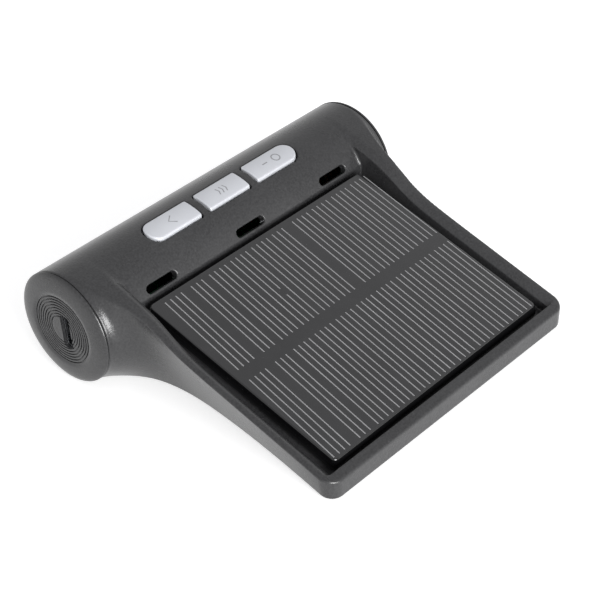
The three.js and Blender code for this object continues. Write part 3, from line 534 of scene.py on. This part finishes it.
# End caps: a domed edge round a disc with concentric grooves
capSizes = {"disc": 8.0, "discEdge": 0.2, "discSunk": 0.12, "edgeSunk": 0.1, "domeSteps": 12, "sharp": 38,
            "grooves": 8, "firstGroove": 3.0, "groovePitch": 0.62, "grooveDepth": 0.28, "middleGap": 0.5,
            "sides": 160, "plate": 0.6, "seat": 0.15, "ring": 1.2, "ringDepth": 3.0, "slotWidth": 2.5,
            "slotHeight": 7.4, "slotCorner": 0.7, "slotSteps": 6, "slotPast": 1, "slotDepth": 6}
# across one groove, as shares of the pitch and of the depth
grooveShape = ((-0.5, 0), (-0.22, 0.15), (-0.14, 1), (0.14, 1), (0.22, 0.15))


def capOutline():
    s = capSizes
    rise = capOuter - barrelHalf - caseSizes["gap"]
    face = rise - s["discSunk"]
    points = [(0.0, face), (s["firstGroove"] - s["middleGap"], face)]
    for i in range(s["grooves"]):
        at = s["firstGroove"] + i * s["groovePitch"]
        for share, down in grooveShape:
            points.append((at + share * s["groovePitch"], face - down * s["grooveDepth"]))
    points.append((s["disc"] - s["discEdge"], rise - s["edgeSunk"]))
    for i in range(s["domeSteps"] + 1):
        angle = math.pi / 2 * i / s["domeSteps"]
        points.append((s["disc"] + (radius - s["disc"]) * math.sin(angle), rise * math.cos(angle)))
    ringOuter = radius - caseSizes["wall"] - caseSizes["gap"]
    ringInner = ringOuter - s["ring"]
    return points + [(radius - s["seat"], -s["seat"]), (ringOuter, -s["seat"]), (ringOuter, -s["ringDepth"]),
                     (ringInner, -s["ringDepth"]), (ringInner, -s["plate"]), (0.0, -s["plate"])]


def turned(outline, side, seat, sides):
    vertices, faces = [], []
    rings = []
    for r, h in outline:
        if r == 0:
            rings.append([len(vertices)] * sides)
            vertices.append((side * (seat + h), 0, 0))
            continue
        rings.append(list(range(len(vertices), len(vertices) + sides)))
        for i in range(sides):
            angle = 2 * math.pi * i / sides
            vertices.append((side * (seat + h), r * math.cos(angle), r * math.sin(angle)))
    for a, b in zip(rings, rings[1:]):
        for i in range(sides):
            j = (i + 1) % sides
            face = list(dict.fromkeys((a[i], b[i], b[j], a[j])))
            faces.append(face if side < 0 else face[::-1])
    return vertices, faces


def slotCutter():
    s = capSizes
    low, high = boxOf("usb_shell")
    middleY, middleZ = (low.y + high.y) / 2 - axisY, (low.z + high.z) / 2 - axisZ
    along, over = math.cos(boardLean), math.sin(boardLean)
    outline = plateRing(s["slotWidth"] / 2, s["slotHeight"] / 2, s["slotCorner"], s["slotSteps"])
    ring = [(middleY + y * along + z * over, middleZ - y * over + z * along) for y, z in outline]
    near, far = -capOuter - s["slotPast"], -capOuter + s["slotDepth"]
    vertices = [(near, y, z) for y, z in ring] + [(far, y, z) for y, z in ring]
    cutter = pieceFrom("slotCutter", vertices, ringFaces(len(ring)), looks["case"], barrelPlace)
    tidyMesh(cutter.data)
    return cutter


for name, side in (("left_end_cap", -1), ("right_end_cap", 1)):
    vertices, faces = turned(capOutline(), side, barrelHalf + caseSizes["gap"], capSizes["sides"])
    cap = pieceFrom("endCap_" + name.split("_")[0], vertices, faces, looks["case"], barrelPlace)
    tidyMesh(cap.data)
    if side < 0:
        cutter = slotCutter()
        cut = cap.modifiers.new("slot", "BOOLEAN")
        cut.object = cutter
        cut.solver = "EXACT"
        finished(cap)
        bpy.data.objects.remove(cutter)
    sharpen(cap, capSizes["sharp"])
    print(cap.name, len(cap.data.polygons), "faces")
    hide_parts(name)
    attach(cap, "case")
print("end caps made")


# Flat blocks with rounded plan corners and softened edges
panelSizes = {"corner": 1.2, "frontInset": 0.85, "frontPower": 12, "skew": 0.3, "sideInset": 0.2,
              "droop": 1.5, "edge": 0.3, "bevelSteps": 5, "bevelAngle": 25, "topLimit": 0.93, "sharp": 40}


def panelBlock():
    # a cast block: its top is set back at the front, where the epoxy droops over the edge
    s = panelSizes
    rings = []
    for inset, height in ((0, -caseSizes["panelThickness"]), (0, -s["droop"]), (1, 0)):
        ring = []
        for x, y in plateRing(panelHalf, panelLength / 2, s["corner"]):
            share = max(-y / (panelLength / 2), 0) ** s["frontPower"]
            front = share * (s["frontInset"] + s["skew"] * x / panelHalf)
            ring.append((x * (1 - inset * s["sideInset"] / panelHalf), y + inset * front, height))
        rings.append(ring)
    faces = ringFaces(len(rings[0]), len(rings))
    block = pieceFrom("panelBlock", sum(rings, []), faces, looks["panel"], panelPlace)
    softened(block, s["edge"], s["bevelSteps"], s["bevelAngle"])
    block.data.materials.append(looks["side"])
    # painted shade: faces that do not point up get the near-black side copy, so the panel's sides are
    # darkened as if in shadow
    up = (panelPlace.to_3x3() @ Vector((0, 0, 1))).normalized()
    for face in block.data.polygons:
        face.material_index = 0 if face.normal.dot(up) > s["topLimit"] else 1
    sharpen(block, s["sharp"])
    return block


panelPiece = panelBlock()
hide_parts("solar_epoxy", "solar_board")
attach(panelPiece, "case")

padSizes = {"corner": 2, "edge": 0.3, "bevelSteps": 4, "bevelAngle": 50, "sharp": 40}


def padBlock(low, high, place):
    s = padSizes
    ring = plateRing(high.x, (high.y - low.y) / 2, s["corner"])
    vertices = [(x, y, low.z) for x, y in ring] + [(x, y, high.z) for x, y in ring]
    pad = pieceFrom("gripPad", vertices, ringFaces(len(ring)), looks["rubber"], place)
    softened(pad, s["edge"], s["bevelSteps"], s["bevelAngle"])
    sharpen(pad, s["sharp"])
    return pad


padLow, padHigh = boxOf("anti_slip_pad")
padMiddle = (padLow + padHigh) / 2
padPlace = plainPlace @ Matrix.Translation(Vector((padMiddle.x, padMiddle.y, 0)))
padPiece = padBlock(padLow, padHigh, padPlace)
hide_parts("anti_slip_pad")
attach(padPiece, "case")


# The light grid lines on the cells: bars on a row of points, grouped cell by cell
gridSizes = {"cells": 10, "perCell": 4, "cellPitch": 6.2, "linePitch": 1.47, "width": 0.25, "margin": 1.4,
             "frontMargin": 1.2, "band": 3.0, "bandMiddle": 0.9, "early": 0.45, "parts": 11, "shift": 0.6,
             "lean": -0.038, "fan": 0.0006, "lift": 0.012}


def gridTree():
    tree = bpy.data.node_groups.new("cellGridRow", "GeometryNodeTree")
    face = tree.interface
    face.new_socket("Geometry", in_out="INPUT", socket_type="NodeSocketGeometry")
    wanted = (("Cells", "NodeSocketInt"), ("Lines Per Cell", "NodeSocketInt"),
              ("Cell Pitch", "NodeSocketFloat"),
              ("Line Pitch", "NodeSocketFloat"), ("First", "NodeSocketFloat"), ("Middle", "NodeSocketFloat"),
              ("Width", "NodeSocketFloat"), ("Length", "NodeSocketFloat"), ("Lean", "NodeSocketFloat"),
              ("Fan", "NodeSocketFloat"), ("Missing", "NodeSocketInt"), ("Missing Too", "NodeSocketInt"),
              ("Early By", "NodeSocketFloat"), ("Parts", "NodeSocketInt"), ("Broken Part", "NodeSocketInt"),
              ("Material", "NodeSocketMaterial"))
    for name, kind in wanted:
        face.new_socket(name, in_out="INPUT", socket_type=kind)
    face.new_socket("Geometry", in_out="OUTPUT", socket_type="NodeSocketGeometry")
    new, link = tree.nodes.new, tree.links.new
    start, end = new("NodeGroupInput"), new("NodeGroupOutput")

    def maths(operation, a, b):
        node = new("ShaderNodeMath")
        node.operation = operation
        for socket, value in zip(node.inputs, (a, b)):
            if isinstance(value, (int, float)):
                socket.default_value = value
            elif value is not None:
                link(value, socket)
        return node.outputs[0]

    def same(a, b):
        compared = maths("COMPARE", a, b)
        compared.node.inputs[2].default_value = 0.1
        return compared

    count = maths("MULTIPLY", start.outputs["Cells"], start.outputs["Lines Per Cell"])
    row = new("GeometryNodeMeshLine")
    link(count, row.inputs["Count"])
    index = new("GeometryNodeInputIndex").outputs[0]
    cell = maths("FLOOR", maths("DIVIDE", index, start.outputs["Lines Per Cell"]), None)
    inCell = maths("MODULO", index, start.outputs["Lines Per Cell"])
    across = maths("ADD", maths("MULTIPLY", cell, start.outputs["Cell Pitch"]),
                   maths("MULTIPLY", inCell, start.outputs["Line Pitch"]))
    across = maths("ADD", across, start.outputs["First"])
    second = same(cell, 1)
    across = maths("SUBTRACT", across, maths("MULTIPLY", second, start.outputs["Early By"]))
    turn = maths("ADD", start.outputs["Lean"], maths("MULTIPLY", across, start.outputs["Fan"]))
    place = new("ShaderNodeCombineXYZ")
    link(maths("SUBTRACT", across, maths("MULTIPLY", turn, start.outputs["Middle"])), place.inputs["X"])
    link(start.outputs["Middle"], place.inputs["Y"])
    spread = new("GeometryNodeSetPosition")
    link(row.outputs["Mesh"], spread.inputs["Geometry"])
    link(place.outputs[0], spread.inputs["Position"])
    bar = new("GeometryNodeMeshGrid")
    link(start.outputs["Width"], bar.inputs["Size X"])
    link(start.outputs["Length"], bar.inputs["Size Y"])
    bar.inputs["Vertices X"].default_value = 2
    link(maths("ADD", start.outputs["Parts"], 1), bar.inputs["Vertices Y"])
    spin = new("ShaderNodeCombineXYZ")
    link(turn, spin.inputs["Z"])
    put = new("GeometryNodeInstanceOnPoints")
    link(spread.outputs[0], put.inputs["Points"])
    link(bar.outputs["Mesh"], put.inputs["Instance"])
    link(spin.outputs[0], put.inputs["Rotation"])
    missing = [same(index, start.outputs[name]) for name in ("Missing", "Missing Too")]
    link(maths("SUBTRACT", 1, maths("MAXIMUM", *missing)), put.inputs["Selection"])
    real, paint = new("GeometryNodeRealizeInstances"), new("GeometryNodeSetMaterial")
    cut = new("GeometryNodeDeleteGeometry")
    cut.domain = "FACE"
    broken = same(index, start.outputs["Broken Part"])
    link(put.outputs[0], real.inputs[0])
    link(real.outputs[0], cut.inputs["Geometry"])
    link(broken, cut.inputs["Selection"])
    link(cut.outputs[0], paint.inputs["Geometry"])
    link(start.outputs["Material"], paint.inputs["Material"])
    link(paint.outputs[0], end.inputs[0])
    return tree


def setInput(modifier, name, value):
    for item in modifier.node_group.interface.items_tree:
        if item.item_type == "SOCKET" and item.in_out == "INPUT" and item.name == name:
            modifier[item.identifier] = value


gridNodes = gridTree()


def gridRow(name, middle, length, missing, missingToo, brokenLine):
    s = gridSizes
    holder = pieceFrom(name, [(0, 0, 0)], [], looks["grid"], Matrix.Identity(4))
    rows = holder.modifiers.new("rows", "NODES")
    rows.node_group = gridNodes
    span = (s["cells"] - 1) * s["cellPitch"] + (s["perCell"] - 1) * s["linePitch"]
    values = {"Cells": s["cells"], "Lines Per Cell": s["perCell"], "Cell Pitch": s["cellPitch"],
              "Line Pitch": s["linePitch"], "First": s["shift"] - span / 2, "Middle": middle,
              "Width": s["width"],
              "Length": length, "Lean": s["lean"], "Fan": s["fan"], "Missing": missing,
              "Missing Too": missingToo,
              "Early By": s["early"], "Parts": s["parts"],
              "Broken Part": brokenLine * s["parts"] + s["parts"] // 2 - 1, "Material": looks["grid"]}
    for key, value in values.items():
        setInput(rows, key, value)
    finished(holder)
    holder.data.transform(panelPlace @ Matrix.Translation((0, 0, s["lift"])))
    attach(holder, "case")


half = panelLength / 2
rearEnd, frontEnd = half - gridSizes["margin"], -half + gridSizes["frontMargin"]
rearStart = gridSizes["bandMiddle"] + gridSizes["band"] / 2
frontStart = rearStart - gridSizes["band"]
gridRow("cellGridRear", (rearEnd + rearStart) / 2, rearEnd - rearStart, 4, 23, 13)
gridRow("cellGridFront", (frontEnd + frontStart) / 2, frontStart - frontEnd, 4, 4, -9)
print("panel made")


# Small inlaid marks on the buttons: an arrow, three bars, a dash with a ring
markSizes = {"width": 0.26, "proud": 0.02, "depth": 0.1, "ring": 0.95, "ringAt": 1.4, "ringSides": 14,
             "sharp": 30}


def strokes(name, lines, body):
    s = markSizes
    face = radius + buttonSizes["proud"]
    outer, inner = face + s["proud"], face - s["depth"]
    middle = math.radians((buttonSizes["start"] + buttonSizes["end"]) / 2)
    low, high = buttonSpans()[name]
    vertices, faces = [], []
    for line in lines:
        points = [Vector(p) for p in line]
        for i, point in enumerate(points):
            ahead = points[min(i + 1, len(points) - 1)] - points[max(i - 1, 0)]
            across = Vector((-ahead.y, ahead.x)).normalized() * s["width"] / 2
            for side, r in ((-1, outer), (1, outer), (1, inner), (-1, inner)):
                at = point + side * across
                turn = middle - at.y / radius
                vertices.append(((low + high) / 2 + at.x, r * math.cos(turn), r * math.sin(turn)))
        first = len(vertices) - 4 * len(points)
        for i in range(len(points) - 1):
            a = first + 4 * i
            faces += [[a + j, a + (j + 1) % 4, a + 4 + (j + 1) % 4, a + 4 + j] for j in range(4)]
        last = len(vertices) - 4
        faces += [[first + j for j in (3, 2, 1, 0)], [last + j for j in range(4)]]
    mark = pieceFrom("buttonMark_" + name, vertices, faces, looks["mark"], barrelPlace)
    tidyMesh(mark.data)
    sharpen(mark, s["sharp"])
    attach(mark, body)


def ringLine(x, r, sides):
    return [(x + r * math.cos(2 * math.pi * i / sides), r * math.sin(2 * math.pi * i / sides))
            for i in range(sides + 1)]


markRing = ringLine(markSizes["ringAt"], markSizes["ring"], markSizes["ringSides"])
strokes("left", [[(0.9, -1.1), (-0.5, 0), (0.9, 1.1)]], "left_button")
strokes("middle", [[(x - 0.25, -0.9), (x + 0.15, 0), (x - 0.15, 0.9)] for x in (-1, 0, 1)], "middle_button")
strokes("right", [[(-2.6, 0), (-1.2, 0)], markRing], "right_button")


# Cross-head screws: one screw made once and set on a point for each place
def screwTree():
    tree = bpy.data.node_groups.new("coverScrews", "GeometryNodeTree")
    face = tree.interface
    face.new_socket("Geometry", in_out="INPUT", socket_type="NodeSocketGeometry")
    for name in ("Head Radius", "Head Height", "Shank Radius", "Shank Length", "Slot Width", "Slot Length",
                 "Slot Depth"):
        face.new_socket(name, in_out="INPUT", socket_type="NodeSocketFloat")
    face.new_socket("Material", in_out="INPUT", socket_type="NodeSocketMaterial")
    face.new_socket("Geometry", in_out="OUTPUT", socket_type="NodeSocketGeometry")
    new, link = tree.nodes.new, tree.links.new
    start, end = new("NodeGroupInput"), new("NodeGroupOutput")

    def rod(radiusName, lengthName, sides):
        node = new("GeometryNodeMeshCylinder")
        node.inputs["Vertices"].default_value = sides
        link(start.outputs[radiusName], node.inputs["Radius"])
        link(start.outputs[lengthName], node.inputs["Depth"])
        return node.outputs["Mesh"]

    def raised(mesh, *lengths):
        # moved up by half of the sum of the named lengths
        node, total = new("GeometryNodeTransform"), new("ShaderNodeMath")
        total.inputs[1].default_value = 0
        for name, socket in zip(lengths, total.inputs):
            link(start.outputs[name], socket)
        half, place = new("ShaderNodeMath"), new("ShaderNodeCombineXYZ")
        half.operation = "MULTIPLY"
        half.inputs[1].default_value = 0.5
        link(total.outputs[0], half.inputs[0])
        link(half.outputs[0], place.inputs["Z"])
        link(mesh, node.inputs["Geometry"])
        link(place.outputs[0], node.inputs["Translation"])
        return node.outputs[0]

    def bar(x, y):
        size, cube = new("ShaderNodeCombineXYZ"), new("GeometryNodeMeshCube")
        link(start.outputs[x], size.inputs["X"])
        link(start.outputs[y], size.inputs["Y"])
        link(start.outputs["Slot Depth"], size.inputs["Z"])
        link(size.outputs[0], cube.inputs["Size"])
        return cube.outputs["Mesh"]

    cut, both = new("GeometryNodeMeshBoolean"), new("GeometryNodeJoinGeometry")
    points, put = new("GeometryNodeMeshToPoints"), new("GeometryNodeInstanceOnPoints")
    real, paint = new("GeometryNodeRealizeInstances"), new("GeometryNodeSetMaterial")
    cut.operation = "DIFFERENCE"
    link(raised(rod("Head Radius", "Head Height", 40), "Head Height"), cut.inputs[0])
    link(bar("Slot Width", "Slot Length"), cut.inputs[1])
    link(bar("Slot Length", "Slot Width"), cut.inputs[1])
    link(cut.outputs[0], both.inputs[0])
    link(raised(rod("Shank Radius", "Shank Length", 20), "Head Height", "Shank Length"), both.inputs[0])
    link(start.outputs["Geometry"], points.inputs[0])
    link(points.outputs[0], put.inputs["Points"])
    link(both.outputs[0], put.inputs["Instance"])
    link(put.outputs[0], real.inputs[0])
    link(real.outputs[0], paint.inputs["Geometry"])
    link(start.outputs["Material"], paint.inputs["Material"])
    link(paint.outputs[0], end.inputs[0])
    return tree


screwSizes = {"Head Radius": 1.72, "Head Height": 0.85, "Shank Radius": 0.78, "Shank Length": 6.0,
              "Slot Width": 0.42, "Slot Length": 2.1, "Slot Depth": 0.9}
screwNames = ["cover_screw_%d" % i for i in range(1, 5)]
screwSpots = []
for name in screwNames:
    low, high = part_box(name)
    screwSpots.append(((low.x + high.x) / 2, (low.y + high.y) / 2, low.z))
screws = pieceFrom("coverScrews", screwSpots, [], looks["steel"], Matrix.Identity(4))
turnedIn = screws.modifiers.new("screws", "NODES")
turnedIn.node_group = screwTree()
for key, value in screwSizes.items():
    setInput(turnedIn, key, value * mm)
setInput(turnedIn, "Material", looks["steel"])
finished(screws)
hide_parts(*screwNames)
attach(screws, "case")
print("marks and screws made")

# Better finishes on the CAD nodes that stay
kept = {
    "bottom_cover": "cover", "usb_shell": "steel", "usb_tongue": "chip", "main_board": "board",
    "microcontroller": "chip", "receiver_chip": "chip", "charge_chip": "chip", "crystal": "steel",
    "battery_connector": "white", "motion_sensor": "brass", "buzzer": "chip", "antenna_coil": "enamel",
    "battery": "foil", "battery_tape": "foam", "lcd_glass": "glass", "backlight": "white",
    "lcd_frame": "white", "contact_strip": "rubber", "solar_lead_plus": "red", "battery_lead_plus": "red",
    "solar_lead_minus": "black", "battery_lead_minus": "black",
}
for name in nodes:
    if name.startswith("solar_cell"):
        kept[name] = "cell"
    elif name.endswith("_body"):
        kept[name] = "steel"
    elif name.endswith("_plunger"):
        kept[name] = "chip"
for name, look in kept.items():
    mesh = nodes[name].data
    mesh.materials.clear()
    mesh.materials.append(looks[look])


# Floor, light and camera
stageSizes = {"floor": 12, "grey": 0.72, "roughness": 0.9, "glow": 0.55, "topAt": 0.8,
              "top": (0.6, 0.6, 0.61, 1), "white": (1, 1, 1, 1)}
cameraSizes = {"azimuth": -49.04, "elevation": 37.56, "distance": 365.2, "lens": 110.54,
               "aim": (-2.48, -11.19, 10.0), "shift": (-0.0711, 0.0323)}


def makeStage():
    s = stageSizes
    floor = bpy.data.materials.new("floor_white")
    floor.use_nodes = True
    tree, link = floor.node_tree.nodes, floor.node_tree.links.new
    shader = tree["Principled BSDF"]
    shader.inputs["Base Color"].default_value = (s["grey"], s["grey"], s["grey"], 1)
    shader.inputs["Roughness"].default_value = s["roughness"]
    glow, both = tree.new("ShaderNodeEmission"), tree.new("ShaderNodeAddShader")
    path = tree.new("ShaderNodeLightPath")
    glow.inputs["Color"].default_value = s["white"]
    seen = tree.new("ShaderNodeMath")
    seen.operation = "MULTIPLY"
    seen.inputs[1].default_value = s["glow"]
    seenBy = [path.outputs[name] for name in ("Is Camera Ray", "Is Glossy Ray", "Is Transmission Ray")]
    for i, socket in enumerate(seenBy[1:]):
        add = tree.new("ShaderNodeMath")
        add.use_clamp = True
        link(seenBy[0], add.inputs[0])
        link(socket, add.inputs[1])
        seenBy[0] = add.outputs[0]
    link(seenBy[0], seen.inputs[0])
    link(seen.outputs[0], glow.inputs["Strength"])
    link(shader.outputs[0], both.inputs[0])
    link(glow.outputs[0], both.inputs[1])
    link(both.outputs[0], tree["Material Output"].inputs["Surface"])
    bpy.ops.mesh.primitive_plane_add(size=s["floor"], location=(0, 0, 0))
    plane = bpy.context.object
    plane.name = "floor"
    plane.data.materials.append(floor)


def makeWorld():
    s = stageSizes
    world = bpy.data.worlds.new("studio")
    bpy.context.scene.world = world
    world.use_nodes = True
    tree, link = world.node_tree.nodes, world.node_tree.links.new
    back = tree["Background"]
    place, split = tree.new("ShaderNodeTexCoord"), tree.new("ShaderNodeSeparateXYZ")
    ramp = tree.new("ShaderNodeValToRGB")
    ramp.color_ramp.elements[0].position = 0.0
    ramp.color_ramp.elements[0].color = s["white"]
    ramp.color_ramp.elements[1].position = s["topAt"]
    ramp.color_ramp.elements[1].color = s["top"]
    link(place.outputs["Generated"], split.inputs[0])
    link(split.outputs["Z"], ramp.inputs["Fac"])
    link(ramp.outputs["Color"], back.inputs["Color"])
    white, mixed = tree.new("ShaderNodeBackground"), tree.new("ShaderNodeMixShader")
    path = tree.new("ShaderNodeLightPath")
    white.inputs["Color"].default_value = s["white"]
    link(path.outputs["Is Camera Ray"], mixed.inputs["Fac"])
    link(back.outputs[0], mixed.inputs[1])
    link(white.outputs[0], mixed.inputs[2])
    link(mixed.outputs[0], tree["World Output"].inputs["Surface"])


def makeLamp(name, place, aim, size, energy):
    data = bpy.data.lights.new(name, "AREA")
    data.size = size
    data.energy = energy
    lamp = bpy.data.objects.new(name, data)
    lamp.location = place
    lamp.rotation_euler = (Vector(aim) - Vector(place)).to_track_quat("-Z", "Y").to_euler()
    bpy.context.scene.collection.objects.link(lamp)


def makeCamera():
    s = cameraSizes
    azimuth, elevation = math.radians(s["azimuth"]), math.radians(s["elevation"])
    back = Vector((math.sin(azimuth) * math.cos(elevation), -math.cos(azimuth) * math.cos(elevation),
                   math.sin(elevation)))
    data = bpy.data.cameras.new("camera")
    data.lens = s["lens"]
    data.shift_x, data.shift_y = s["shift"]
    data.clip_start = 0.01
    camera = bpy.data.objects.new("camera", data)
    camera.location = (Vector(s["aim"]) + back * s["distance"]) * mm
    camera.rotation_euler = (-back).to_track_quat("-Z", "Y").to_euler()
    bpy.context.scene.collection.objects.link(camera)
    bpy.context.scene.camera = camera


makeStage()
makeWorld()
makeLamp("frontLamp", (-0.2, -0.75, 0.2), (0, 0, 0.01), 0.4, 9)
makeCamera()
bpy.context.scene.view_settings.view_transform = "Standard"
print("stage, lights and camera made")
